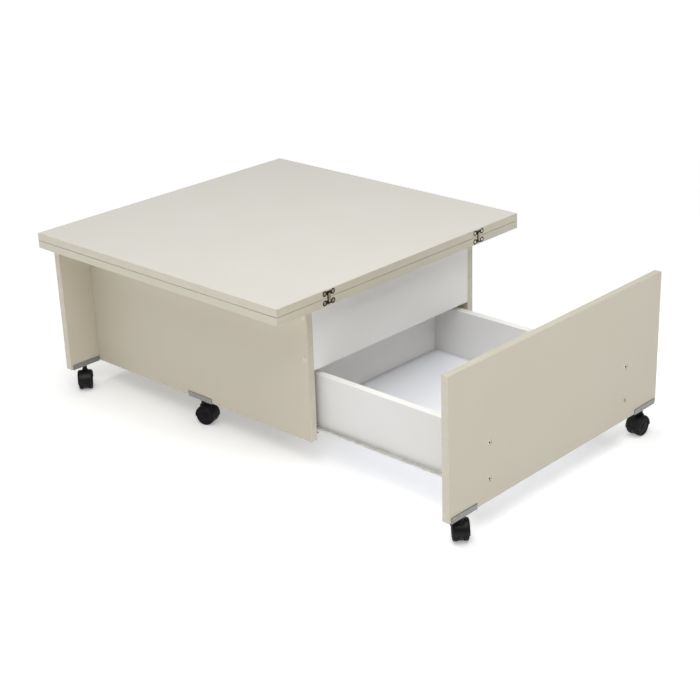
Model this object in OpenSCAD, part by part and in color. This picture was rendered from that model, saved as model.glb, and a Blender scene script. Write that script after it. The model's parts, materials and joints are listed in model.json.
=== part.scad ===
// Square fold-over coffee table on castors, with one large drawer.
// Origin: on the floor, midway between the left castors and those of the pulled-out drawer.
// +X is the way the drawer opens, +Z is up. Millimetres.

/* [Tabletop] */
// Side of each square leaf
top_w = 800; // [780:5:820]
// Thickness of every board
board_t = 18; // [18:0.5:19]
// Air gap between the two stacked leaves
seam = 0.8; // [0.6:0.1:1.2]
// Height of the tabletop above the floor
table_h = 419; // [415:1:430]

/* [Carcass] */
// Height of the boards' bottom edges above the floor
board_clear = 62; // [62:0.5:64]
// Width of the left end panel and of the drawer front
panel_w = 732; // [720:2:740]
// Distance between the outer faces of the two side panels
carcass_w = 558; // [554:1:562]
// Distance from the leaf's edge to the left end panel
end_inset = 8.5; // [6:0.5:12]
// Distance from the leaf's edge to the front of the carcass
front_inset = 38.5; // [37:0.5:42]
// Height of the fascia above the drawer
fascia_h = 155; // [150:1:158]

/* [Drawer] */
// How far the drawer stands out as the table is drawn
pull = 439; // [0:1:450]
// Length of the drawer box behind its front
drawer_len = 535; // [530:1:540]
// Gap between a drawer side and the side panel, which the rails fill
rail_gap = 13; // [13:0.1:13.4]
// Height of the drawer sides
drawer_side_h = 132; // [125:1:136]
// Height of the drawer box's bottom edge above the floor
drawer_z = 81.2; // [81:0.1:82]
// Gap between the drawer front and the leaf above it
front_gap = 6.4; // [5:0.1:9]

/* [Rails] */
// Length of each drawer rail
rail_len = 500; // [480:5:505]
// Thickness of the rails' sheet metal
rail_t = 1.2; // [1:0.1:1.2]
// Radius of the rail rollers
roller_r = 6; // [5.6:0.1:6]

/* [Flip hinges] */
// Distance of each hinge from the table's centre line
hinge_y = 250; // [200:5:300]
// How far both hinges sit towards the far side
hinge_shift = 3; // [-5:0.5:5]
// Half the distance between the two screws in a hinge cup
hinge_screw_y = 12.5; // [12:0.25:13]
// Distance of the hinge screws from the seam
hinge_screw_z = 10.3; // [10:0.1:10.6]

/* [Castors] */
// Diameter of the wheels
wheel_d = 46; // [45:0.5:46]
// Width of a castor over both wheels
castor_w = 36; // [34:0.5:38]
// Distance from the swivel axis to the axle
trail = 9; // [8:0.5:12]
// Distance of the corner castors from the table's centre line
castor_y = 320; // [318:1:322]
// Length of the channels that hold the castors
channel_l = 80; // [70:1:80]
// Swivel angle of the near left castor
near_left_turn = 320; // [0:5:355]
// Swivel angle of the far left castor
far_left_turn = 75; // [0:5:355]
// Swivel angle of the near middle castor
near_middle_turn = 18; // [0:1:359]
// Swivel angle of the far middle castor
far_middle_turn = 205; // [0:5:355]
// Swivel angle of the near front castor
near_front_turn = 136; // [0:1:359]
// Swivel angle of the far front castor
far_front_turn = 270; // [0:5:355]

/* [Hidden] */
$fn = 48;

eps = 0.01;
// Radial room round a screw, and round a piece let into a board
fit = 0.05;
// Gap between pieces that move past each other
play = 0.3;

// Rotations that turn a screw drawn along -Z towards another direction
to_px = [0, -90, 0];
to_nx = [0, 90, 0];
to_py = [90, 0, 0];
to_ny = [-90, 0, 0];
to_pz = [180, 0, 0];

// Heights
leaf_z = table_h - 2 * board_t - seam;
seam_z = leaf_z + board_t + seam / 2;
board_h = leaf_z - board_clear;
fascia_z = leaf_z - fascia_h;
front_h = leaf_z - front_gap - board_clear;

// Places along X from the tabletop's centre, and distances from the centre line along Y
end_x = -top_w / 2 + end_inset;
side_x = end_x + board_t;
carcass_x = top_w / 2 - front_inset;
fascia_x = carcass_x - board_t;
side_y = carcass_w / 2 - board_t;
side_mid_y = side_y + board_t / 2;

// The closed drawer stands off the carcass by the stop pads
pad_t = 1.2;
pad_gap = pad_t + play;
front_x = carcass_x + pad_gap;
drawer_x = front_x - drawer_len;
drawer_y = side_y - rail_gap;
drawer_inner_y = drawer_y - board_t;
drawer_side_mid_y = drawer_y - board_t / 2;
bottom_t = 5;
bottom_z = drawer_z + 10;
groove = 6;

// Where the castors swivel, and the tabletop's centre measured from the origin
left_castor_x = end_x + board_t / 2;
front_castor_x = front_x + board_t / 2 + pull;
top_x = -(left_castor_x + front_castor_x) / 2;

// Screws
confirmat_l = 50;
confirmat_r = 3.5;
confirmat_head_r = 5;
hex_r = 2.6;
hex_depth = 3;
front_sink = 1.2;
edge_inset = 45;
fascia_inset = 30;
end_screw_z = [board_clear + edge_inset, board_clear + board_h / 2, leaf_z - edge_inset];
fascia_screw_z = [fascia_z + fascia_inset, leaf_z - fascia_inset];
front_screw_z = [drawer_z + 30, drawer_z + 110];
back_screw_z = [drawer_z + 32, drawer_z + 102];
cap_r = 6.5;
cap_t = 1;
screw_r = 2;
screw_l = 14;
screw_hole_r = screw_r + 0.2;

// Angle brackets: place and the direction that each one faces
bracket_leg = 30;
bracket_w = 20;
bracket_t = 2;
bracket_hole = 20;
bracket_head_r = 3.6;
bracket_spots = [
    [side_x, -150, 0], [side_x, 150, 0],
    [-200, -side_y, 90], [150, -side_y, 90],
    [-200, side_y, -90], [150, side_y, -90],
    [fascia_x, -130, 180], [fascia_x, 130, 180]
];

// Seam bumpers
bumper_r = 5;
bumper_t = seam - play;
bumper_inset = 28;
bumper_at = top_w / 2 - bumper_inset;

// Flip hinges: the upper leaf turns about a line just outside the edge, level with the seam
axis_out = 0.4;
axis_x = top_w / 2 + axis_out;
cup_reach = 12.6;
cup_half_w = 4.8;
cup_bar_h = 9;
cup_plate_t = 2;
cup_disc_r = 6.4;
cup_screw_r = 3.3;
cup_screw_l = 22;
pocket_r = 11.2;
pocket_half_w = 3.4;
link_half_w = 3;
link_half_l = 10.5;
link_t = 1.5;
link_off = 0.5;
link_pin_z = 7.5;
link_pin_r = 2.1;
link_pin_h = 0.7;
hinge_spots = [hinge_shift - hinge_y, hinge_shift + hinge_y];

// Rails, as distances from the centre line and heights above the drawer's bottom edge
cab_web_y = side_y - rail_t;
cab_rail_z = drawer_z - 6.8;
cab_rail_h = 20;
cab_flange_w = 11;
cab_rail_x = carcass_x - 3.5 - rail_len;
drawer_web_y = drawer_y + rail_t;
run_z = drawer_z + 9;
run_flange_w = 10.5;
run_lip_h = 3.5;
run_lip_t = 1;
foot_flange_w = 13;
drawer_rail_x = front_x - 1 - rail_len;
roller_w = 6;
roller_y = drawer_y + 2.9;
cab_roller_x = cab_rail_x + rail_len - 9;
cab_roller_z = run_z - rail_t - play - roller_r;
drawer_roller_x = drawer_rail_x + 11;
drawer_roller_z = cab_rail_z + rail_t + play + roller_r;
pin_r = 1.8;
roller_bore_r = 1.86;
pin_head_r = 2.9;
pin_head_t = 0.8;
head_pocket_r = 3.2;
head_pocket_t = 1;
rail_head_r = 3.5;
foot_head_r = 3.4;
foot_head_h = 1.1;
cab_rail_screw_x = [cab_rail_x + 30, cab_rail_x + 240, cab_rail_x + 450];
cab_rail_screw_z = cab_rail_z + cab_rail_h / 2;
drawer_rail_screw_x = [drawer_rail_x + 60, drawer_rail_x + 155, drawer_rail_x + 470];
drawer_rail_screw_z = drawer_z + 4.2;

// Castor channels and castors
channel_t = 1.5;
channel_h = 11;
channel_screw = 28;
channel_screw_l = 15;
channel_head_r = 3.8;
rivet_r = 5.5;
rivet_h = 2.5;
rivet_pocket_r = 6.5;
rivet_pocket_h = 5;
stem_neck_r = 3.9;
stem_r = 3;
stem_bore_r = 3.06;
stem_tip_z = 36;
collar_t = 1.5;
wheel_r = wheel_d / 2;
web_w = 9.6;
wheel_gap = 0.6;
hood_gap = 0.6;
hood_t = 1.4;
hood_r = wheel_r + hood_gap + hood_t;
hood_skirt_z = wheel_r - 3;
hood_wrap = 60;
shoulder_r = 4;
shoulder_y = castor_w / 2 - (shoulder_r + hood_gap + hood_t) * sin(hood_wrap);
wheel_w = shoulder_y + shoulder_r - web_w / 2 - wheel_gap;
hub_rise = 0.6;
web_lift = 0.8;
boss_r = 8;
boss_top_r = 6;
boss_z = board_clear - channel_t - collar_t - 0.5;
boss_base_z = wheel_r + 12;
lip_w = 18;
lip_h = 4;
lip_out = 2;
bulb_room_z = 34.6;
bulb_room_h = 5;
bulb_room_r = 3.6;
axle_r = 2.5;
axle_bore_r = 2.56;
axle_l = 29.8;
press = 0.02;

near_left = [left_castor_x, -castor_y, near_left_turn];
far_left = [left_castor_x, castor_y, far_left_turn];
near_middle = [0, -side_mid_y, near_middle_turn];
far_middle = [0, side_mid_y, far_middle_turn];
near_front = [front_castor_x, -castor_y, near_front_turn];
far_front = [front_castor_x, castor_y, far_front_turn];
end_castors = [near_left, far_left];
middle_castors = [near_middle, far_middle];
front_castors = [near_front, far_front];

cream = [0.83, 0.80, 0.71];
warm_white = [0.90, 0.89, 0.86];
white = [0.90, 0.90, 0.90];
zinc = [0.66, 0.67, 0.68];
nickel = [0.75, 0.74, 0.72];
bronze = [0.30, 0.26, 0.20];
black = [0.09, 0.09, 0.10];
clear_rubber = [0.78, 0.78, 0.76];

// ---- Frames ----

// Places the table about the origin
module at_table() {
    translate([top_x, 0, 0]) children();
}

// Places the drawer, whose own coordinates are those of the closed drawer
module at_drawer() {
    translate([top_x + pull, 0, 0]) children();
}

// Draws a piece and its mirror image across the centre line
module both_sides() {
    children();
    mirror([0, 1, 0]) children();
}

// ---- Fasteners, drawn with the head's face at the origin and the shank along -Z ----

module screw_shape(head_r, shank_r, length, grow = 0) {
    head_h = head_r - shank_r;
    rotate_extrude()
        polygon([
            [0, grow], [head_r + grow, grow], [head_r + grow, 0],
            [shank_r + grow, -head_h], [shank_r + grow, -length + shank_r], [0, -length - grow]
        ]);
}

module confirmat() {
    difference() {
        screw_shape(confirmat_head_r, confirmat_r, confirmat_l);
        translate([0, 0, -hex_depth]) cylinder(r = hex_r, h = hex_depth + eps, $fn = 6);
    }
}

module confirmat_hole() {
    screw_shape(confirmat_head_r, confirmat_r, confirmat_l, fit);
}

// Dish that lets a confirmat sit below the face
module screw_sink() {
    mouth_r = confirmat_head_r + fit + front_sink;
    cylinder(r1 = confirmat_head_r + fit, r2 = mouth_r, h = front_sink + eps);
}

module cross_recess(span, depth) {
    for (turn = [0, 90])
        rotate([0, 0, turn])
            translate([-span / 2, -0.4, -depth]) cube([span, 0.8, depth + eps]);
}

module flat_screw(head_r, shank_r, length) {
    difference() {
        screw_shape(head_r, shank_r, length);
        cross_recess(head_r, 1.2);
    }
}

module flat_screw_hole(head_r, shank_r, length) {
    screw_shape(head_r, shank_r, length, fit);
}

module pan_screw(head_r, head_h, shank_r, length) {
    difference() {
        rotate_extrude()
            polygon([
                [0, head_h], [head_r * 0.7, head_h], [head_r, head_h * 0.4], [head_r, 0],
                [shank_r, 0], [shank_r, -length + shank_r], [0, -length]
            ]);
        translate([0, 0, head_h]) cross_recess(head_r, head_h * 0.6);
    }
}

module pilot_hole(shank_r, length) {
    translate([0, 0, -length - fit]) cylinder(r = shank_r + fit, h = length + fit + eps);
}

// ---- Where each group of fasteners sits ----

module at_end_screws() {
    for (z = end_screw_z)
        both_sides()
            translate([end_x, -side_mid_y, z]) rotate(to_px) children();
}

module at_fascia_screws() {
    for (z = fascia_screw_z)
        both_sides()
            translate([fascia_x + board_t / 2, -carcass_w / 2, z]) rotate(to_py) children();
}

module at_brackets() {
    for (spot = bracket_spots)
        translate([spot[0], spot[1], leaf_z]) rotate([0, 0, spot[2]]) children();
}

module at_front_screws() {
    for (z = front_screw_z)
        both_sides()
            translate([front_x + board_t - front_sink, -drawer_side_mid_y, z]) rotate(to_nx) children();
}

module at_back_screws() {
    for (z = back_screw_z)
        both_sides()
            translate([drawer_x + board_t / 2, -drawer_y, z]) rotate(to_py) children();
}

module at_cabinet_rail_screws() {
    for (x = cab_rail_screw_x)
        translate([x, -cab_web_y, cab_rail_screw_z]) rotate(to_ny) children();
}

module at_drawer_rail_screws() {
    for (x = drawer_rail_screw_x)
        translate([x, -drawer_web_y, drawer_rail_screw_z]) rotate(to_py) children();
}

// A board's castor spot: X along the board, the channel's outside face at z = 0
module at_castor(castor, turn) {
    translate([castor[0], castor[1], board_clear]) rotate([0, 0, turn]) children();
}

// ---- Carcass ----

module rivet_pocket() {
    translate([0, 0, -eps]) cylinder(r = rivet_pocket_r, h = rivet_pocket_h + eps);
    for (x = [-channel_screw, channel_screw])
        translate([x, 0, 0]) rotate(to_pz) pilot_hole(screw_r, channel_screw_l);
}

module bracket_holes() {
    translate([0, 0, -bracket_hole]) rotate(to_nx) pilot_hole(screw_r, screw_l);
    translate([bracket_hole, 0, 0]) rotate(to_pz) pilot_hole(screw_r, screw_l);
}

module left_end_panel() {
    color(cream) at_table() difference() {
        translate([end_x, -panel_w / 2, board_clear]) cube([board_t, panel_w, board_h]);
        at_end_screws() confirmat_hole();
        at_brackets() bracket_holes();
        for (castor = end_castors) at_castor(castor, 90) rivet_pocket();
    }
}

module side_panel() {
    difference() {
        translate([side_x, -carcass_w / 2, board_clear])
            cube([carcass_x - side_x, board_t, board_h]);
        at_end_screws() confirmat_hole();
        at_fascia_screws() confirmat_hole();
        at_brackets() bracket_holes();
        at_cabinet_rail_screws() flat_screw_hole(rail_head_r, screw_r, screw_l);
        at_castor(near_middle, 0) rivet_pocket();
    }
}

module near_side_panel() {
    color(cream) at_table() side_panel();
}

module far_side_panel() {
    color(cream) at_table() mirror([0, 1, 0]) side_panel();
}

module fascia_panel() {
    color(white) at_table() difference() {
        translate([fascia_x, -side_y, fascia_z]) cube([board_t, 2 * side_y, fascia_h]);
        at_fascia_screws() confirmat_hole();
        at_brackets() bracket_holes();
    }
}

module carcass_screws() {
    color(nickel) at_table() {
        at_end_screws() confirmat();
        at_fascia_screws() confirmat();
    }
}

module cap() {
    rotate_extrude()
        polygon([[0, 0], [cap_r, 0], [cap_r - 0.2, cap_t * 0.5], [cap_r - 1.5, cap_t], [0, cap_t]]);
}

module screw_caps() {
    color(cream) at_table() {
        at_end_screws() cap();
        at_fascia_screws() cap();
    }
}

module angle_bracket() {
    difference() {
        union() {
            translate([0, -bracket_w / 2, -bracket_leg]) cube([bracket_t, bracket_w, bracket_leg]);
            translate([0, -bracket_w / 2, -bracket_t]) cube([bracket_leg, bracket_w, bracket_t]);
        }
        translate([-eps, 0, -bracket_hole]) rotate([0, 90, 0])
            cylinder(r = screw_hole_r, h = bracket_t + 2 * eps);
        translate([bracket_hole, 0, -bracket_t - eps]) cylinder(r = screw_hole_r, h = bracket_t + 2 * eps);
    }
}

module angle_brackets() {
    color(zinc) at_table() at_brackets() angle_bracket();
}

module bracket_screws() {
    color(nickel) at_table() at_brackets() {
        translate([bracket_t, 0, -bracket_hole]) rotate(to_nx) pan_screw(bracket_head_r, 2, screw_r, screw_l);
        translate([bracket_hole, 0, -bracket_t]) rotate(to_pz) pan_screw(bracket_head_r, 2, screw_r, screw_l);
    }
}

module drawer_stop_pads() {
    color(clear_rubber) at_table() both_sides()
        for (z = [board_clear + 40, fascia_z + 60])
            translate([carcass_x, -side_mid_y, z]) rotate([0, 90, 0]) cylinder(r = 5, h = pad_t);
}

// ---- Leaves and flip hinges ----

// Outline of a hinge cup's face, in the Y-Z plane, with the seam's middle at z = 0
module cup_face(grow = 0) {
    for (side = [-1, 1])
        translate([side * hinge_screw_y, -hinge_screw_z]) circle(r = cup_disc_r + grow);
    translate([-hinge_screw_y - grow, -hinge_screw_z - cup_bar_h / 2 - grow])
        square([2 * (hinge_screw_y + grow), cup_bar_h + 2 * grow]);
    translate([-cup_half_w - grow, -cup_reach - grow])
        square([2 * (cup_half_w + grow), cup_reach - seam / 2 + grow]);
}

// Solid envelope of a hinge cup, let into the edge: X = 0 is the leaf's edge
module cup_body(grow = 0) {
    translate([-cup_plate_t - grow, 0, 0]) rotate([90, 0, 90])
        linear_extrude(height = cup_plate_t + 2 * grow) cup_face(grow);
    translate([-cup_reach - grow, -cup_half_w - grow, -cup_reach - grow])
        cube([cup_reach + 2 * grow, 2 * (cup_half_w + grow), cup_reach - seam / 2 + grow]);
}

module hinge_cup() {
    difference() {
        cup_body();
        translate([axis_out, pocket_half_w, 0]) rotate([90, 0, 0])
            cylinder(r = pocket_r, h = 2 * pocket_half_w);
        at_cup_screws() flat_screw_hole(cup_screw_r, screw_r, cup_screw_l);
    }
}

// The cup's cut-out in a leaf runs out through the edge and through the face at the seam
module cup_mortise() {
    cup_body(fit);
    translate([-cup_reach - fit, -cup_half_w - fit, -cup_reach])
        cube([cup_reach + 1, 2 * (cup_half_w + fit), cup_reach]);
    at_cup_screws() flat_screw_hole(cup_screw_r, screw_r, cup_screw_l);
}

module at_cup_screws() {
    for (side = [-1, 1])
        translate([0, side * hinge_screw_y, -hinge_screw_z]) rotate(to_nx) children();
}

module at_lower_hinges() {
    for (y = hinge_spots)
        translate([top_w / 2, y, seam_z]) children();
}

module at_upper_hinges() {
    for (y = hinge_spots)
        translate([top_w / 2, y, seam_z]) mirror([0, 0, 1]) children();
}

module lower_leaf() {
    color(warm_white) at_table() difference() {
        translate([-top_w / 2, -top_w / 2, leaf_z]) cube([top_w, top_w, board_t]);
        at_lower_hinges() cup_mortise();
        at_brackets() bracket_holes();
    }
}

module upper_leaf() {
    color(warm_white) at_table() difference() {
        translate([-top_w / 2, -top_w / 2, seam_z + seam / 2]) cube([top_w, top_w, board_t]);
        at_upper_hinges() cup_mortise();
    }
}

module seam_bumpers() {
    color(clear_rubber) at_table()
        for (x = [-bumper_at, bumper_at], y = [-bumper_at, bumper_at])
            translate([x, y, leaf_z + board_t]) cylinder(r = bumper_r, h = bumper_t);
}

module lower_hinge_cups() {
    color(bronze) at_table() at_lower_hinges() hinge_cup();
}

module upper_hinge_cups() {
    color(bronze) at_table() at_upper_hinges() hinge_cup();
}

module lower_hinge_screws() {
    color(nickel) at_table() at_lower_hinges() at_cup_screws() flat_screw(cup_screw_r, screw_r, cup_screw_l);
}

module upper_hinge_screws() {
    color(nickel) at_table() at_upper_hinges() at_cup_screws() flat_screw(cup_screw_r, screw_r, cup_screw_l);
}

module link_outline() {
    for (side = [-1, 1])
        translate([0, side * (link_half_l - link_half_w)]) circle(r = link_half_w);
    translate([-link_half_w, link_half_w - link_half_l])
        square([2 * link_half_w, 2 * (link_half_l - link_half_w)]);
}

module hinge_link(y) {
    color(nickel) at_table() translate([axis_x + link_off, y, seam_z]) {
        rotate([90, 0, 90]) linear_extrude(height = link_t) link_outline();
        for (z = [-link_pin_z, link_pin_z])
            translate([link_t - eps, 0, z]) rotate([0, 90, 0])
                cylinder(r1 = link_pin_r, r2 = link_pin_r - 0.5, h = link_pin_h);
    }
}

// ---- Drawer rails, drawn for the near side ----

module cabinet_rail() {
    difference() {
        translate([cab_rail_x, -side_y, cab_rail_z])
            cube([rail_len, cab_flange_w, cab_rail_h]);
        translate([cab_rail_x - eps, -cab_web_y, cab_rail_z + rail_t])
            cube([rail_len + 2 * eps, cab_flange_w, cab_rail_h - 2 * rail_t]);
        at_cabinet_rail_screws() flat_screw_hole(rail_head_r, screw_r, screw_l);
        translate([cab_roller_x, -cab_web_y, cab_roller_z]) rotate(to_ny)
            pilot_hole(pin_r, rail_t + 1);
    }
}

module drawer_rail() {
    difference() {
        union() {
            translate([drawer_rail_x, -drawer_web_y, drawer_z - rail_t])
                cube([rail_len, rail_t, run_z - drawer_z + rail_t]);
            translate([drawer_rail_x, -drawer_web_y, drawer_z - rail_t])
                cube([rail_len, foot_flange_w, rail_t]);
            translate([drawer_rail_x, -drawer_y - run_flange_w, run_z - rail_t])
                cube([rail_len, run_flange_w, rail_t]);
            translate([drawer_rail_x, -drawer_y - run_flange_w, run_z - run_lip_h])
                cube([rail_len, run_lip_t, run_lip_h]);
        }
        at_drawer_rail_screws() pilot_hole(screw_r, rail_t + 1);
        translate([drawer_roller_x, -drawer_web_y, drawer_roller_z]) rotate(to_py)
            pilot_hole(pin_r, rail_t + 1);
    }
}

module near_cabinet_rail() {
    color(zinc) at_table() cabinet_rail();
}

module far_cabinet_rail() {
    color(zinc) at_table() mirror([0, 1, 0]) cabinet_rail();
}

module near_drawer_rail() {
    color(zinc) at_drawer() drawer_rail();
}

module far_drawer_rail() {
    color(zinc) at_drawer() mirror([0, 1, 0]) drawer_rail();
}

module cabinet_rail_screws() {
    color(nickel) at_table() both_sides() at_cabinet_rail_screws() flat_screw(rail_head_r, screw_r, screw_l);
}

module drawer_rail_screws() {
    color(nickel) at_drawer() both_sides() at_drawer_rail_screws()
        pan_screw(foot_head_r, foot_head_h, screw_r, screw_l);
}

// A headed pin through the roller: web at z = 0, head towards +Z
module roller_pin(shoulder) {
    tip = shoulder + roller_w - head_pocket_t + 0.1;
    rotate_extrude()
        polygon([
            [0, -rail_t], [pin_r, -rail_t], [pin_r, 0], [pin_r + 1, 0],
            [pin_r + 1, shoulder - 0.2], [pin_r, shoulder - 0.2], [pin_r, tip],
            [pin_head_r, tip], [pin_head_r, tip + pin_head_t], [0, tip + pin_head_t]
        ]);
}

// The roller from z = 0 up, with the pocket for the pin's head on top and a slightly crowned rim
module roller() {
    rotate_extrude()
        polygon([
            [roller_bore_r, 0], [roller_r - 0.6, 0], [roller_r, 0.8],
            [roller_r, roller_w - 0.8], [roller_r - 0.6, roller_w],
            [head_pocket_r, roller_w], [head_pocket_r, roller_w - head_pocket_t],
            [roller_bore_r, roller_w - head_pocket_t]
        ]);
}

module cabinet_pin() {
    translate([cab_roller_x, -cab_web_y, cab_roller_z]) rotate([-90, 0, 0])
        roller_pin(cab_web_y - roller_y - roller_w);
}

module drawer_pin() {
    translate([drawer_roller_x, -drawer_web_y, drawer_roller_z]) rotate([90, 0, 0])
        roller_pin(roller_y - drawer_web_y);
}

module cabinet_roller_pins() {
    color(zinc) at_table() both_sides() cabinet_pin();
}

module drawer_roller_pins() {
    color(zinc) at_drawer() both_sides() drawer_pin();
}

module cabinet_roller() {
    translate([cab_roller_x, -roller_y - roller_w, cab_roller_z]) rotate([-90, 0, 0]) roller();
}

module drawer_roller() {
    translate([drawer_roller_x, -roller_y, drawer_roller_z]) rotate([90, 0, 0]) roller();
}

module near_cabinet_roller() {
    color(white) at_table() cabinet_roller();
}

module far_cabinet_roller() {
    color(white) at_table() mirror([0, 1, 0]) cabinet_roller();
}

module near_drawer_roller() {
    color(white) at_drawer() drawer_roller();
}

module far_drawer_roller() {
    color(white) at_drawer() mirror([0, 1, 0]) drawer_roller();
}

// ---- Drawer ----

module bottom_panel(grow = 0) {
    translate([drawer_x + board_t - groove - grow, -drawer_inner_y - groove - grow, bottom_z - grow])
        cube([
            drawer_len - board_t + 2 * groove + 2 * grow,
            2 * (drawer_inner_y + groove + grow),
            bottom_t + 2 * grow
        ]);
}

module drawer_front() {
    color(cream) at_drawer() difference() {
        translate([front_x, -panel_w / 2, board_clear]) cube([board_t, panel_w, front_h]);
        at_front_screws() {
            confirmat_hole();
            screw_sink();
        }
        bottom_panel(fit);
        for (castor = front_castors)
            translate([-pull, 0, 0]) at_castor(castor, 90) rivet_pocket();
    }
}

module drawer_side() {
    difference() {
        translate([drawer_x, -drawer_y, drawer_z]) cube([drawer_len, board_t, drawer_side_h]);
        at_front_screws() confirmat_hole();
        at_back_screws() confirmat_hole();
        bottom_panel(fit);
        at_drawer_rail_screws() pilot_hole(screw_r, screw_l);
    }
}

module near_drawer_side() {
    color(white) at_drawer() drawer_side();
}

module far_drawer_side() {
    color(white) at_drawer() mirror([0, 1, 0]) drawer_side();
}

module drawer_back() {
    color(white) at_drawer() difference() {
        translate([drawer_x, -drawer_inner_y, drawer_z])
            cube([board_t, 2 * drawer_inner_y, drawer_side_h]);
        at_back_screws() confirmat_hole();
        bottom_panel(fit);
    }
}

module drawer_bottom() {
    color(white) at_drawer() bottom_panel();
}

module drawer_screws() {
    color(nickel) at_drawer() {
        at_front_screws() confirmat();
        at_back_screws() confirmat();
    }
}

// ---- Castors ----

// A U-shaped channel over a board's bottom edge, along X
module castor_channel() {
    difference() {
        translate([-channel_l / 2, -board_t / 2 - channel_t, -channel_t])
            cube([channel_l, board_t + 2 * channel_t, channel_h + channel_t]);
        translate([-channel_l / 2 - eps, -board_t / 2, 0])
            cube([channel_l + 2 * eps, board_t, channel_h + eps]);
        translate([0, 0, -channel_t - eps]) cylinder(r = stem_neck_r + fit, h = channel_t + 2 * eps);
        for (x = [-channel_screw, channel_screw])
            translate([x, 0, -channel_t - eps]) cylinder(r = screw_hole_r, h = channel_t + 2 * eps);
    }
}

module channel_screw_pair() {
    for (x = [-channel_screw, channel_screw])
        translate([x, 0, -channel_t]) rotate(to_pz) pan_screw(channel_head_r, 2, screw_r, channel_screw_l);
}

// Riveted swivel pin: it ends in a bulb that snaps into the hood
module castor_stem() {
    collar_z = -channel_t - collar_t;
    tip_z = stem_tip_z - board_clear;
    rotate_extrude()
        polygon([
            [0, tip_z], [2.4, tip_z], [3.4, tip_z + 1.4], [3.4, tip_z + 2], [stem_r, tip_z + 3],
            [stem_r, collar_z], [rivet_r, collar_z], [rivet_r, -channel_t],
            [stem_neck_r, -channel_t], [stem_neck_r, 0], [rivet_r, 0],
            [rivet_r - 1, rivet_h], [0, rivet_h]
        ]);
}

module carcass_castor_channels() {
    color(zinc) at_table() {
        for (castor = end_castors) at_castor(castor, 90) castor_channel();
        for (castor = middle_castors) at_castor(castor, 0) castor_channel();
    }
}

module carcass_channel_screws() {
    color(nickel) at_table() {
        for (castor = end_castors) at_castor(castor, 90) channel_screw_pair();
        for (castor = middle_castors) at_castor(castor, 0) channel_screw_pair();
    }
}

module carcass_castor_stems() {
    color(zinc) at_table()
        for (castor = concat(end_castors, middle_castors)) at_castor(castor, 0) castor_stem();
}

module drawer_castor_channels() {
    color(zinc) at_table() for (castor = front_castors) at_castor(castor, 90) castor_channel();
}

module drawer_channel_screws() {
    color(nickel) at_table() for (castor = front_castors) at_castor(castor, 90) channel_screw_pair();
}

module drawer_castor_stems() {
    color(zinc) at_table() for (castor = front_castors) at_castor(castor, 0) castor_stem();
}

// Places a castor's own pieces: swivel axis on Z, trail along +X, floor at z = 0
module at_wheel(castor) {
    at_table() translate([castor[0], castor[1], 0]) rotate([0, 0, castor[2]]) children();
}

// A round bar along Y through the axle's centre
module across(r, width) {
    translate([trail, width / 2, wheel_r]) rotate([90, 0, 0]) cylinder(r = r, h = width);
}

// Part of the wheel's rounded shoulder, or of the hood's around it, as (radius, across) pairs
function shoulder(r, from, to) = [
    for (step = [0:4])
        let (a = from + (to - from) * step / 4)
        [wheel_r - shoulder_r + r * cos(a), shoulder_y + r * sin(a)]
];

// Fender over both wheels, as a full ring whose sides wrap round the wheels' shoulders
module fender_ring() {
    side = concat(
        shoulder(shoulder_r + hood_gap + hood_t, 0, hood_wrap),
        shoulder(shoulder_r + hood_gap, hood_wrap, 0)
    );
    far = [for (i = [len(side) - 1:-1:0]) [side[i][0], -side[i][1]]];
    translate([trail, 0, wheel_r]) rotate([90, 0, 0]) rotate_extrude() polygon(concat(side, far));
}

module above_skirt() {
    translate([trail - 2 * hood_r, -castor_w, hood_skirt_z])
        cube([4 * hood_r, 2 * castor_w, 2 * hood_r]);
}

module castor_hood(castor) {
    color(black) at_wheel(castor) difference() {
        union() {
            intersection() {
                union() {
                    fender_ring();
                    across(hood_r - hood_t / 2, web_w);
                }
                above_skirt();
            }
            across(wheel_r - web_lift, web_w);
            translate([trail + hood_r - hood_t, -lip_w / 2, hood_skirt_z])
                cube([hood_t + lip_out, lip_w, lip_h]);
            difference() {
                translate([0, 0, boss_base_z])
                    cylinder(r1 = boss_r, r2 = boss_top_r, h = boss_z - boss_base_z);
                across(hood_r - hood_t / 2, castor_w);
            }
        }
        across(axle_bore_r, castor_w);
        translate([0, 0, bulb_room_z]) cylinder(r = stem_bore_r, h = board_clear);
        translate([0, 0, bulb_room_z]) cylinder(r = bulb_room_r, h = bulb_room_h);
    }
}

// One wheel as a turned solid: inner face at z = 0, outer face up, with a raised hub
module wheel() {
    face = concat(
        [for (p = shoulder(shoulder_r, 0, 90)) [p[0], p[1] - web_w / 2 - wheel_gap]],
        [
            [wheel_r - 6, wheel_w], [wheel_r - 6.8, wheel_w - 0.9], [8.6, wheel_w - 0.9],
            [7.8, wheel_w + hub_rise * 0.5], [6, wheel_w + hub_rise], [0, wheel_w + hub_rise]
        ]
    );
    bore_end = axle_l / 2 + 0.1 - web_w / 2 - wheel_gap;
    rotate_extrude($fn = 96)
        polygon(concat(
            [[axle_r + press, 0], [wheel_r - 1, 0], [wheel_r, 1]],
            face,
            [[0, bore_end], [axle_r + press, bore_end]]
        ));
}

module castor_wheels(castor) {
    color(black) at_wheel(castor) both_sides()
        translate([trail, web_w / 2 + wheel_gap, wheel_r]) rotate([-90, 0, 0]) wheel();
}

module castor_axle(castor) {
    color(zinc) at_wheel(castor) across(axle_r, axle_l);
}

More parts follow.
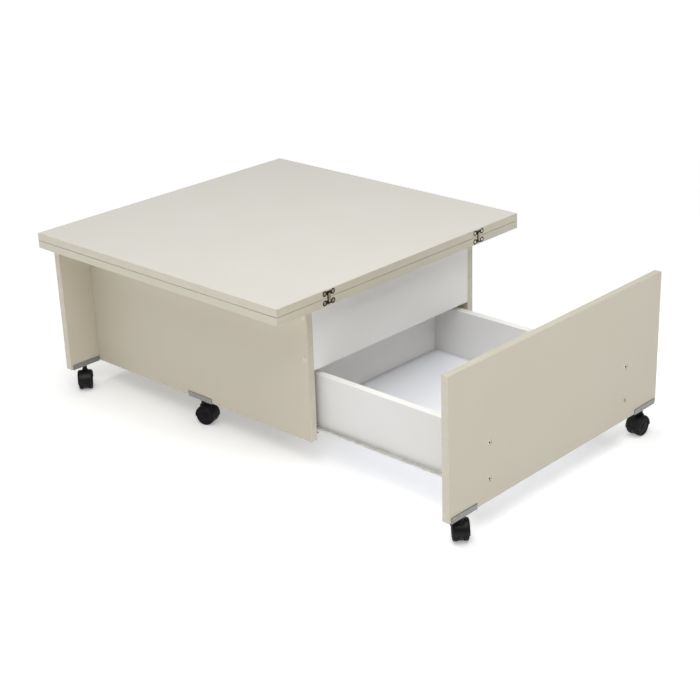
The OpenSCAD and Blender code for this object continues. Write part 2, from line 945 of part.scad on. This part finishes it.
left_end_panel();
near_side_panel();
far_side_panel();
fascia_panel();
lower_leaf();
carcass_screws();
screw_caps();
angle_brackets();
bracket_screws();
seam_bumpers();
lower_hinge_cups();
lower_hinge_screws();
near_cabinet_rail();
far_cabinet_rail();
cabinet_rail_screws();
cabinet_roller_pins();
carcass_castor_channels();
carcass_channel_screws();
carcass_castor_stems();
drawer_stop_pads();
upper_leaf();
upper_hinge_cups();
upper_hinge_screws();
hinge_link(hinge_spots[0]);  // near_hinge_link
hinge_link(hinge_spots[1]);  // far_hinge_link
drawer_front();
near_drawer_side();
far_drawer_side();
drawer_back();
drawer_bottom();
drawer_screws();
near_drawer_rail();
far_drawer_rail();
drawer_rail_screws();
drawer_roller_pins();
drawer_castor_channels();
drawer_channel_screws();
drawer_castor_stems();
near_cabinet_roller();
far_cabinet_roller();
near_drawer_roller();
far_drawer_roller();
castor_hood(near_left);  // near_left_hood
castor_wheels(near_left);  // near_left_wheels
castor_axle(near_left);  // near_left_axle
castor_hood(far_left);  // far_left_hood
castor_wheels(far_left);  // far_left_wheels
castor_axle(far_left);  // far_left_axle
castor_hood(near_middle);  // near_middle_hood
castor_wheels(near_middle);  // near_middle_wheels
castor_axle(near_middle);  // near_middle_axle
castor_hood(far_middle);  // far_middle_hood
castor_wheels(far_middle);  // far_middle_wheels
castor_axle(far_middle);  // far_middle_axle
castor_hood(near_front);  // near_front_hood
castor_wheels(near_front);  // near_front_wheels
castor_axle(near_front);  // near_front_axle
castor_hood(far_front);  // far_front_hood
castor_wheels(far_front);  // far_front_wheels
castor_axle(far_front);  // far_front_axle
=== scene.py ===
"""Looks for a fold-over coffee table on castors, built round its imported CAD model. Metres."""

import json
import math

import bmesh
import bpy
from mathutils import Matrix, Vector

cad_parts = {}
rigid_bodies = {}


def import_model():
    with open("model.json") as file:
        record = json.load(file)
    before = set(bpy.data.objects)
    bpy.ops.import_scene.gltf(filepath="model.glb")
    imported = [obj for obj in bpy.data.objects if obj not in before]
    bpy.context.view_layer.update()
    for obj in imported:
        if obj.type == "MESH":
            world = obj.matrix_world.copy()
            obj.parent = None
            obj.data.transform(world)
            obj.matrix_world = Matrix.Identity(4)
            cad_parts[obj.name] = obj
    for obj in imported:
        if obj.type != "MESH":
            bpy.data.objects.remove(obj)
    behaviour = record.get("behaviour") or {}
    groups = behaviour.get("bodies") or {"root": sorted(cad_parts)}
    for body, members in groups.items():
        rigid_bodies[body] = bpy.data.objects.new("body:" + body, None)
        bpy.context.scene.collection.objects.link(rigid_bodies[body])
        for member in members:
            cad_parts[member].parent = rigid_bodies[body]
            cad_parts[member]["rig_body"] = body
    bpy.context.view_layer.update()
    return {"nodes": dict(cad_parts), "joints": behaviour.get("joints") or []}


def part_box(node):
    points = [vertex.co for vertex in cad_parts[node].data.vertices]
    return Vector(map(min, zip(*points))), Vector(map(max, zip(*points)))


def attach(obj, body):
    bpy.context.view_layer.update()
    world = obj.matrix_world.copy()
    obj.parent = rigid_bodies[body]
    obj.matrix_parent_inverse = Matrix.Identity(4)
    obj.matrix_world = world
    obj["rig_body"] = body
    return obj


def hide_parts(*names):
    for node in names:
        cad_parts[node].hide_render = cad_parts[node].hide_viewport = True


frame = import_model()
nodes = frame["nodes"]
joints = {joint["name"]: joint for joint in frame["joints"]}

MM = 0.001

# Boards: a thin band is glued round the edges, and its corners are scraped round
BAND_T = 0.9 * MM
EDGE_ROUND = 0.7 * MM
BOARD_SHRINK = 0.02 * MM
BASE_SAG = 0.9 * MM

# Castors: lengths in metres, HOOD_DROP, HOOD_WRAP and SHARP_ANGLE in degrees
CASTORS = ("near_left", "far_left", "near_middle", "far_middle", "near_front", "far_front")
HALF_W = 18.0 * MM
SHOULDER = 4.0 * MM
HOOD_WALL = 1.4 * MM
HOOD_GAP = 0.6 * MM
HOOD_DROP = 7.0
HOOD_WRAP = 60.0
LIP_OUT = 1.9 * MM
LIP_HALF_W = 8.0 * MM
WEB_HALF_W = 4.8 * MM
WEB_LIFT = 0.8 * MM
WEB_BORE = 2.6 * MM
PIN_BORE = 3.1 * MM
NECK_R = 5.1 * MM
WHEEL_GAP = 0.6 * MM
WHEEL_BORE = 2.52 * MM
HUB_RISE = 0.6 * MM
SHARP_ANGLE = 35.0

# Screws
SOCKET_DEPTH = 3.0 * MM

# Stage: the floor's glow grows from NEAR to FAR between these two distances from the origin
FLOOR_HALF = 80.0
FLOOR_GLOW_NEAR = 0.32
FLOOR_GLOW_FAR = 0.9
GLOW_STARTS = 1.2
GLOW_ENDS = 4.5
SKY_STRENGTH = 0.2
LIGHTS = (  # name, power, size, place, target
    ("overhead", 57, 3.0, (-0.2, -0.3, 3.2), (0, 0, 0.3)),
    ("front_fill", 82, 3.0, (1.95, -2.65, 4.4), (0.4, 0, 0.2)),
    ("drawer_fill", 7, 1.2, (1.3, 0.0, 2.0), (0.3, 0, 0.2)),
)

# Camera: its place is measured from the centre of the tabletop, its angles in degrees
CAMERA_FROM_TOP = Vector((2.4824, -2.3701, 1.1112))
CAMERA_AZIMUTH = 43.673
CAMERA_ELEVATION = 22.814
CAMERA_ROLL = -1.954
CAMERA_LENS = 78.34
CAMERA_REACH = 30


# ---- Small helpers ----


def link(obj):
    """Puts an object into the scene."""
    bpy.context.scene.collection.objects.link(obj)
    return obj


def mesh_object(name, bm, materials):
    """Turns a bmesh into a linked object with these materials."""
    bmesh.ops.recalc_face_normals(bm, faces=bm.faces)
    mesh = bpy.data.meshes.new(name)
    bm.to_mesh(mesh)
    bm.free()
    for material in materials:
        mesh.materials.append(material)
    return link(bpy.data.objects.new(name, mesh))


def combine(obj, others, operation):
    """Unites a closed mesh with others, or cuts it down to what it shares with them."""
    for other in others:
        step = obj.modifiers.new(other.name, "BOOLEAN")
        step.operation = operation
        step.solver = "MANIFOLD"
        step.material_mode = "TRANSFER"
        step.object = other
    bpy.context.view_layer.update()
    shaped = bpy.data.meshes.new_from_object(obj.evaluated_get(bpy.context.evaluated_depsgraph_get()))
    obj.modifiers.clear()
    obj.data = shaped
    for other in others:
        bpy.data.objects.remove(other)


def body_of(node):
    """The rigid body that a CAD node moves with."""
    return nodes[node]["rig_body"]


def lathe(bm, profile, place, steps=48, start=0.0, sweep=360.0):
    """Revolves a closed profile of (radius, height) pairs about Z, then moves it with a matrix.

    A part turn is closed with a flat face at each end.
    """
    whole = sweep >= 360.0
    count = steps if whole else steps + 1
    rings = []
    for step in range(count):
        angle = math.radians(start + sweep * step / steps)
        turn = Vector((math.cos(angle), math.sin(angle), 0))
        rings.append([bm.verts.new(place @ (turn * r + Vector((0, 0, h)))) for r, h in profile])
    size = len(profile)
    for step in range(steps):
        ring = rings[step]
        after = rings[(step + 1) % count]
        for i in range(size):
            j = (i + 1) % size
            bm.faces.new((ring[i], ring[j], after[j], after[i])).smooth = True
    if not whole:
        bm.faces.new(rings[0])
        bm.faces.new(rings[-1])


def rounded(points, radius, steps=4):
    """Rounds every corner of a closed outline of (x, y) pairs with an arc-like curve."""
    outline = []
    size = len(points)
    for i in range(size):
        before = Vector(points[i - 1])
        corner = Vector(points[i])
        after = Vector(points[(i + 1) % size])
        reach_in = min(radius, (before - corner).length * 0.45)
        reach_out = min(radius, (after - corner).length * 0.45)
        start = corner + (before - corner).normalized() * reach_in
        end = corner + (after - corner).normalized() * reach_out
        for step in range(steps + 1):
            t = step / steps
            point = start * (1 - t) ** 2 + corner * 2 * t * (1 - t) + end * t**2
            outline.append((point.x, point.y))
    return outline


def add_box(bm, low, high, material=0):
    """Adds a box between two corners and returns its faces."""
    made = bmesh.ops.create_cube(bm, size=1.0)
    size = high - low
    centre = (high + low) / 2
    for vert in made["verts"]:
        vert.co = Vector((vert.co.x * size.x, vert.co.y * size.y, vert.co.z * size.z)) + centre
    faces = {face for vert in made["verts"] for face in vert.link_faces}
    for face in faces:
        face.material_index = material
    return list(faces)


# ---- Materials ----


class Surface:
    """A Principled material whose colour, roughness and bump come from procedural nodes."""

    def __init__(self, name, color, roughness, **sockets):
        self.material = bpy.data.materials.new(name)
        self.material.use_nodes = True
        self.tree = self.material.node_tree
        self.shader = self.tree.nodes["Principled BSDF"]
        self.color = (*color, 1.0)
        self.shader.inputs["Base Color"].default_value = self.color
        self.shader.inputs["Roughness"].default_value = roughness
        for socket, value in sockets.items():
            self.shader.inputs[socket.replace("_", " ")].default_value = value
        self.coordinates = self.node("ShaderNodeTexCoord").outputs["Object"]

    def node(self, kind, **values):
        made = self.tree.nodes.new(kind)
        for name, value in values.items():
            made.inputs[name.replace("_", " ")].default_value = value
        return made

    def stretched(self, scale):
        mapping = self.node("ShaderNodeMapping")
        mapping.inputs["Scale"].default_value = scale
        self.tree.links.new(self.coordinates, mapping.inputs["Vector"])
        return mapping.outputs["Vector"]

    def noise(self, scale, detail=3.0, stretch=(1, 1, 1), rough=0.5):
        made = self.node("ShaderNodeTexNoise", Scale=scale, Detail=detail, Roughness=rough)
        self.tree.links.new(self.stretched(stretch), made.inputs["Vector"])
        return made.outputs["Fac"]

    def ramp(self, value, low, high, low_at=0.35, high_at=0.65):
        made = self.tree.nodes.new("ShaderNodeValToRGB")
        made.color_ramp.elements[0].position = low_at
        made.color_ramp.elements[1].position = high_at
        made.color_ramp.elements[0].color = low
        made.color_ramp.elements[1].color = high
        self.tree.links.new(value, made.inputs["Fac"])
        return made.outputs["Color"]

    def vary_color(self, value, amount, tint=(1, 1, 1)):
        """Lets the colour swing by a fraction either way, leaning to a tint on the dark side."""
        dark = [c * (1 - amount) * t for c, t in zip(self.color[:3], tint)]
        light = [min(1.0, c * (1 + amount)) for c in self.color[:3]]
        color = self.ramp(value, (*dark, 1), (*light, 1))
        self.tree.links.new(color, self.shader.inputs["Base Color"])

    def map_range(self, value, from_min, from_max, to_min, to_max):
        made = self.node(
            "ShaderNodeMapRange", From_Min=from_min, From_Max=from_max, To_Min=to_min, To_Max=to_max
        )
        self.tree.links.new(value, made.inputs["Value"])
        return made.outputs["Result"]

    def vary_roughness(self, value, low, high):
        """Lets the roughness swing between two values."""
        self.tree.links.new(self.map_range(value, 0.3, 0.7, low, high), self.shader.inputs["Roughness"])

    def bump(self, value, distance, strength=1.0):
        made = self.node("ShaderNodeBump", Distance=distance, Strength=strength)
        self.tree.links.new(value, made.inputs["Height"])
        self.tree.links.new(made.outputs["Normal"], self.shader.inputs["Normal"])


def laminate(name, color, roughness):
    """Melamine face: faint clouding, uneven gloss and a fine pebbled texture."""
    surface = Surface(name, color, roughness, IOR=1.5)
    surface.vary_color(surface.noise(5, 2), 0.006, (1.0, 0.998, 0.99))
    surface.vary_roughness(surface.noise(11, 2), roughness - 0.02, roughness + 0.02)
    surface.bump(surface.noise(1100, 1), 0.00001)
    return surface.material


def edge_band(name, color):
    """Edge band: faint streaks along its length and a softer gloss than the faces."""
    surface = Surface(name, color, 0.36, IOR=1.5)
    surface.vary_color(surface.noise(60, 4, (0.2, 0.2, 6)), 0.02, (1.0, 0.99, 0.96))
    surface.bump(surface.noise(500, 2, (1, 1, 3)), 0.00003)
    return surface.material


def chipboard():
    """Raw particleboard, which shows where a board has been drilled or let in."""
    surface = Surface("chipboard", (0.52, 0.38, 0.23), 0.9)
    surface.vary_color(surface.noise(420, 6), 0.35, (0.8, 0.7, 0.6))
    surface.bump(surface.noise(420, 6), 0.0003)
    return surface.material


def plated(name, color, roughness, metallic=1.0):
    """Plated steel with a faint spangle and fine drawing marks."""
    surface = Surface(name, color, roughness, Metallic=metallic)
    surface.vary_color(surface.noise(160, 3), 0.12)
    surface.vary_roughness(surface.noise(90, 5, (1, 1, 4)), roughness - 0.08, roughness + 0.12)
    surface.bump(surface.noise(700, 2), 0.00004)
    return surface.material


def moulded(name, color, roughness, gloss=0.5):
    """Moulded plastic: a fine spark-eroded texture and slightly uneven gloss."""
    surface = Surface(name, color, roughness, IOR=1.48, Specular_IOR_Level=gloss)
    surface.vary_color(surface.noise(200, 4), 0.08)
    surface.vary_roughness(surface.noise(110, 4), roughness - 0.05, roughness + 0.08)
    surface.bump(surface.noise(2200, 2), 0.00005)
    return surface.material


CREAM = laminate("cream_laminate", (0.62, 0.57, 0.465), 0.36)
LEAF = laminate("leaf_laminate", (0.77, 0.745, 0.685), 0.24)
WHITE = laminate("white_laminate", (0.87, 0.86, 0.845), 0.38)
DRAWER_WHITE = laminate("drawer_laminate", (0.79, 0.785, 0.775), 0.4)
BASE = laminate("drawer_base_laminate", (0.91, 0.93, 0.985), 0.34)
CREAM_BAND = edge_band("cream_band", (0.64, 0.605, 0.50))
WHITE_BAND = edge_band("white_band", (0.92, 0.92, 0.905))
CHIPBOARD = chipboard()
ZINC = plated("zinc_sheet", (0.31, 0.31, 0.295), 0.45)
SCREW = plated("screw_zinc", (0.56, 0.56, 0.55), 0.34)
NICKEL = plated("nickel", (0.62, 0.60, 0.56), 0.3)
# Hinge cups: bronze darkened almost to black, as painted shade round their screws
CUP_BRONZE_PAINTED_SHADE = plated("hinge_cup_bronze_painted_shade", (0.055, 0.045, 0.03), 0.45)
LINK_BRONZE = plated("link_bronze", (0.42, 0.385, 0.28), 0.4)
SOCKET = plated("socket_shade", (0.03, 0.03, 0.03), 0.6)
RAIL = plated("rail_zinc", (0.62, 0.61, 0.58), 0.45, 0.5)
HOOD = moulded("hood_plastic", (0.005, 0.0052, 0.006), 0.4, 0.28)
WHEEL = moulded("wheel_plastic", (0.004, 0.004, 0.0045), 0.55, 0.18)
ROLLER = moulded("roller_plastic", (0.80, 0.80, 0.78), 0.35)
CAP = moulded("cap_plastic", (0.70, 0.65, 0.53), 0.4)
PAD = moulded("soft_pad", (0.66, 0.62, 0.51), 0.7, 0.3)


def paint(material, *names):
    """Gives CAD nodes one material."""
    for name in names:
        mesh = nodes[name].data
        mesh.materials.clear()
        mesh.materials.append(material)


# ---- Boards ----


def closed_copy(node, material):
    """A CAD node's solid with its split corners joined, to cut with."""
    bm = bmesh.new()
    bm.from_mesh(nodes[node].data)
    bmesh.ops.remove_doubles(bm, verts=bm.verts, dist=0.002 * MM)
    for face in bm.faces:
        face.material_index = 0
    return mesh_object(f"cutter_{node}", bm, [material])


def board(node, face_material, band_material):
    """Replaces a board with banded, softened edges, keeping every hole and recess of the CAD one."""
    low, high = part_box(node)
    shrink = Vector((BOARD_SHRINK,) * 3)
    size = high - low
    thin = min(range(3), key=lambda axis: size[axis])
    bm = bmesh.new()
    faces = add_box(bm, low + shrink, high - shrink, material=1)
    bm.normal_update()
    broad = [face for face in faces if abs(face.normal[thin]) > 0.5]
    for face in broad:
        face.material_index = 0
    rims = bmesh.ops.inset_individual(bm, faces=broad, thickness=BAND_T)
    for face in rims["faces"]:
        face.material_index = 1
    corners = [edge for edge in bm.edges if len(edge.link_faces) == 2 and edge.calc_face_angle() > 1.0]
    bmesh.ops.bevel(
        bm, geom=corners, offset=EDGE_ROUND, segments=3, profile=0.5, affect="EDGES", material=1
    )
    obj = mesh_object(f"board_{node}", bm, [face_material, band_material])
    combine(obj, [closed_copy(node, CHIPBOARD)], "INTERSECT")
    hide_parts(node)
    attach(obj, body_of(node))


def make_boards():
    """Every laminated board, each with its own face and edge band."""
    for node in ("left_end_panel", "near_side_panel", "far_side_panel", "drawer_front"):
        board(node, CREAM, CREAM_BAND)
    for node in ("lower_leaf", "upper_leaf"):
        board(node, LEAF, CREAM_BAND)
    for node in ("fascia_panel", "drawer_back"):
        board(node, WHITE, WHITE_BAND)
    for node in ("near_drawer_side", "far_drawer_side"):
        board(node, DRAWER_WHITE, WHITE_BAND)


def drawer_base(steps=24):
    """The thin drawer bottom, which hangs a little between its grooves."""
    low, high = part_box("drawer_bottom")
    bm = bmesh.new()
    layers = []
    for z in (low.z, high.z):
        grid = []
        for i in range(steps + 1):
            u = i / steps
            row = []
            for j in range(steps + 1):
                v = j / steps
                droop = BASE_SAG * math.sin(math.pi * u) * math.sin(math.pi * v)
                place = (low.x + u * (high.x - low.x), low.y + v * (high.y - low.y), z - droop)
                row.append(bm.verts.new(place))
            grid.append(row)
        layers.append(grid)
    for grid in layers:
        for i in range(steps):
            for j in range(steps):
                corners = (grid[i][j], grid[i + 1][j], grid[i + 1][j + 1], grid[i][j + 1])
                bm.faces.new(corners).smooth = True
    under, over = layers
    rim = [(i, 0) for i in range(steps)] + [(steps, j) for j in range(steps)]
    rim += [(i, steps) for i in range(steps, 0, -1)] + [(0, j) for j in range(steps, 0, -1)]
    for (i, j), (i_next, j_next) in zip(rim, rim[1:] + rim[:1]):
        bm.faces.new((under[i][j], under[i_next][j_next], over[i_next][j_next], over[i][j]))
    obj = mesh_object("base_sheet", bm, [BASE])
    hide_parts("drawer_bottom")
    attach(obj, "drawer")


# ---- Castors ----


def castor_frame(name):
    """A castor's own axes: trail along X, axle along Y, with the axle's centre as origin."""
    swivel = Vector(joints[f"{name}_swivel"]["pos_m"])
    axle = Vector(joints[f"{name}_roll"]["pos_m"])
    trail = Vector((axle.x - swivel.x, axle.y - swivel.y, 0))
    turn = math.atan2(trail.y, trail.x)
    return Matrix.Translation(axle) @ Matrix.Rotation(turn, 4, "Z"), trail.length


def shoulder(wheel_r, radius, start, end, steps=8):
    """Part of the wheel's rounded shoulder, or of the hood's round it, as (radius, across) pairs."""
    across = HALF_W - (SHOULDER + HOOD_GAP + HOOD_WALL) * math.sin(math.radians(HOOD_WRAP))
    points = []
    for step in range(steps + 1):
        angle = math.radians(start + (end - start) * step / steps)
        points.append((wheel_r - SHOULDER + radius * math.cos(angle), across + radius * math.sin(angle)))
    return points


def mirrored(half):
    """Closes an outline that is the same on both sides of the middle."""
    return half + [(r, -y) for r, y in reversed(half)]


def castor_hood(name):
    """A one-piece fender over both wheels, a web between them and a neck for the swivel pin."""
    place, trail = castor_frame(name)
    wheel_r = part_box(f"{name}_wheels")[1].z / 2
    inner = wheel_r + HOOD_GAP
    outer = inner + HOOD_WALL
    neck_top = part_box(f"{name}_hood")[1].z - wheel_r
    across = place @ Matrix.Rotation(math.radians(90), 4, "X")
    cover = (-HOOD_DROP, 180 + 2 * HOOD_DROP)
    fender = mirrored(
        shoulder(wheel_r, SHOULDER + HOOD_GAP + HOOD_WALL, 0, HOOD_WRAP)
        + shoulder(wheel_r, SHOULDER + HOOD_GAP, HOOD_WRAP, 0)
    )
    low_web = rounded(mirrored([(WEB_BORE, WEB_HALF_W), (wheel_r - WEB_LIFT, WEB_HALF_W)]), 1.2 * MM)
    top_web = mirrored([(inner - 4 * MM, WEB_HALF_W), (outer - 0.5 * MM, WEB_HALF_W)])
    neck = [
        (PIN_BORE, outer - 5 * MM), (NECK_R + 4.5 * MM, outer - 5 * MM),
        (NECK_R + 3.5 * MM, outer - 2.2 * MM), (NECK_R + 1.7 * MM, outer - 0.3 * MM),
        (NECK_R + 0.6 * MM, outer + 1.8 * MM), (NECK_R, neck_top - 1.2 * MM),
        (NECK_R - 0.2 * MM, neck_top - 0.3 * MM), (NECK_R - 0.6 * MM, neck_top), (PIN_BORE, neck_top),
    ]
    lip = mirrored([(outer + LIP_OUT, LIP_HALF_W), (outer - HOOD_WALL, LIP_HALF_W + 1 * MM)])
    parts = []
    for profile, matrix, steps, turn in (
        (fender, across, 48, cover),
        (low_web, across, 64, (0, 360)),
        (top_web, across, 48, cover),
        (neck, place @ Matrix.Translation((-trail, 0, 0)), 40, (0, 360)),
        (rounded(lip, 1.2 * MM), across, 4, (-HOOD_DROP, HOOD_DROP + 2)),
    ):
        bm = bmesh.new()
        lathe(bm, profile, matrix, steps, *turn)
        parts.append(mesh_object(f"castor_hood_{name}", bm, [HOOD]))
    obj = parts[0]
    combine(obj, parts[1:], "UNION")
    obj.data.set_sharp_from_angle(angle=math.radians(SHARP_ANGLE))
    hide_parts(f"{name}_hood")
    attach(obj, body_of(f"{name}_hood"))


def castor_wheels(name):
    """Twin wheels with a rounded shoulder, a ring groove and a raised hub cap with an axle pip."""
    place, _trail = castor_frame(name)
    wheel_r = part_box(f"{name}_wheels")[1].z / 2
    inside = WEB_HALF_W + WHEEL_GAP
    tread = [(WHEEL_BORE, inside), (wheel_r - 1 * MM, inside), (wheel_r, inside + 1 * MM)]
    tread += shoulder(wheel_r, SHOULDER, 0, 90)
    face = tread[-1][1]
    hub = [
        (wheel_r - 5.6 * MM, face), (wheel_r - 6.2 * MM, face - 0.7 * MM),
        (wheel_r - 7.4 * MM, face - 0.9 * MM), (9.4 * MM, face - 0.9 * MM),
        (8.6 * MM, face - 0.5 * MM), (7.9 * MM, face + 0.3 * MM),
        (6.6 * MM, face + HUB_RISE), (3.4 * MM, face + HUB_RISE), (3.0 * MM, face + 0.2 * MM),
        (0.0, face + 0.2 * MM), (0.0, face - 1.8 * MM), (WHEEL_BORE, face - 1.8 * MM),
    ]
    bm = bmesh.new()
    for side in (90, -90):
        lathe(bm, tread + hub, place @ Matrix.Rotation(math.radians(side), 4, "X"), 72)
    bmesh.ops.remove_doubles(bm, verts=bm.verts, dist=0.001 * MM)
    bmesh.ops.delete(bm, geom=[edge for edge in bm.edges if edge.is_wire], context="EDGES")
    obj = mesh_object(f"castor_wheels_{name}", bm, [WHEEL])
    obj.data.set_sharp_from_angle(angle=math.radians(SHARP_ANGLE))
    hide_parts(f"{name}_wheels")
    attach(obj, body_of(f"{name}_wheels"))


def make_castors():
    """All six castors."""
    for name in CASTORS:
        castor_hood(name)
        castor_wheels(name)
        paint(SCREW, f"{name}_axle")


# ---- Metal and plastic fittings kept from the CAD ----


def shade_sockets(node):
    """Darkens the walls and floors of the hex sockets in screws that face +X."""
    mesh = nodes[node].data
    mesh.materials.append(SOCKET)
    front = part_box(node)[1].x
    for face in mesh.polygons:
        depth = front - face.center.x
        wall = 0.2 * MM < depth < SOCKET_DEPTH and abs(face.normal.x) < 0.2
        floor_face = abs(depth - SOCKET_DEPTH) < 0.3 * MM and face.normal.x > 0.9
        if wall or floor_face:
            face.material_index = 1


def paint_fittings():
    """Gives the fittings that keep their CAD shape their materials."""
    paint(ZINC, "angle_brackets", "carcass_castor_channels", "drawer_castor_channels")
    paint(RAIL, "near_cabinet_rail", "far_cabinet_rail", "near_drawer_rail", "far_drawer_rail")
    paint(SCREW, "bracket_screws", "cabinet_rail_screws", "carcass_channel_screws", "carcass_screws",
          "drawer_rail_screws", "drawer_channel_screws", "cabinet_roller_pins", "drawer_roller_pins",
          "carcass_castor_stems", "drawer_castor_stems")
    paint(NICKEL, "drawer_screws", "lower_hinge_screws", "upper_hinge_screws")
    # The hinge cups' bronze is darkened as painted shade; the links keep the plain bronze
    paint(CUP_BRONZE_PAINTED_SHADE, "lower_hinge_cups", "upper_hinge_cups")
    paint(LINK_BRONZE, "near_hinge_link", "far_hinge_link")
    shade_sockets("drawer_screws")
    paint(CAP, "screw_caps")
    paint(PAD, "seam_bumpers", "drawer_stop_pads")
    paint(ROLLER, "near_cabinet_roller", "far_cabinet_roller", "near_drawer_roller", "far_drawer_roller")


# ---- Stage ----


def floor():
    """A wide pale floor that glows more the further it is from the object, like a lit studio cove."""
    bm = bmesh.new()
    add_box(bm, Vector((-FLOOR_HALF, -FLOOR_HALF, -0.02)), Vector((FLOOR_HALF, FLOOR_HALF, 0)))
    surface = Surface("floor_paint", (0.93, 0.93, 0.93), 0.8)
    surface.shader.inputs["Emission Color"].default_value = (1, 1, 1, 1)
    distance = surface.node("ShaderNodeVectorMath")
    distance.operation = "LENGTH"
    surface.tree.links.new(surface.coordinates, distance.inputs[0])
    glow = surface.map_range(
        distance.outputs["Value"], GLOW_STARTS, GLOW_ENDS, FLOOR_GLOW_NEAR, FLOOR_GLOW_FAR
    )
    surface.tree.links.new(glow, surface.shader.inputs["Emission Strength"])
    mesh_object("floor", bm, [surface.material])


def sky():
    """A plain white world, as weak fill light."""
    world = bpy.data.worlds.new("studio")
    world.use_nodes = True
    background = world.node_tree.nodes["Background"]
    background.inputs["Color"].default_value = (1, 1, 1, 1)
    background.inputs["Strength"].default_value = SKY_STRENGTH
    bpy.context.scene.world = world


def soft_light(name, power, size, place, target):
    """A round area light that looks at a target."""
    light = bpy.data.lights.new(name, "AREA")
    light.energy = power
    light.shape = "DISK"
    light.size = size
    obj = link(bpy.data.objects.new(name, light))
    obj.location = place
    obj.rotation_euler = (Vector(target) - Vector(place)).to_track_quat("-Z", "Y").to_euler()


def camera():
    """A camera at the photograph's viewing angle."""
    leaf_low, leaf_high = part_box("upper_leaf")
    centre = (leaf_low + leaf_high) / 2
    centre.z = leaf_high.z
    azimuth = math.radians(CAMERA_AZIMUTH)
    elevation = math.radians(CAMERA_ELEVATION)
    roll = math.radians(CAMERA_ROLL)
    back = Vector((
        math.sin(azimuth) * math.cos(elevation), -math.cos(azimuth) * math.cos(elevation), math.sin(elevation)
    ))
    level = Vector((0, 0, 1)).cross(back).normalized()
    upright = back.cross(level)
    right = level * math.cos(roll) + upright * math.sin(roll)
    up = upright * math.cos(roll) - level * math.sin(roll)
    lens = bpy.data.cameras.new("camera")
    lens.lens = CAMERA_LENS
    lens.clip_end = CAMERA_REACH
    obj = link(bpy.data.objects.new("camera", lens))
    turn = Matrix((right, up, back)).transposed().to_4x4()
    obj.matrix_world = Matrix.Translation(centre + CAMERA_FROM_TOP) @ turn
    bpy.context.scene.camera = obj


def stage():
    """Floor, world and lights."""
    floor()
    sky()
    for light in LIGHTS:
        soft_light(*light)
    bpy.context.scene.view_settings.view_transform = "Standard"


camera()
make_boards()
drawer_base()
make_castors()
paint_fittings()
stage()
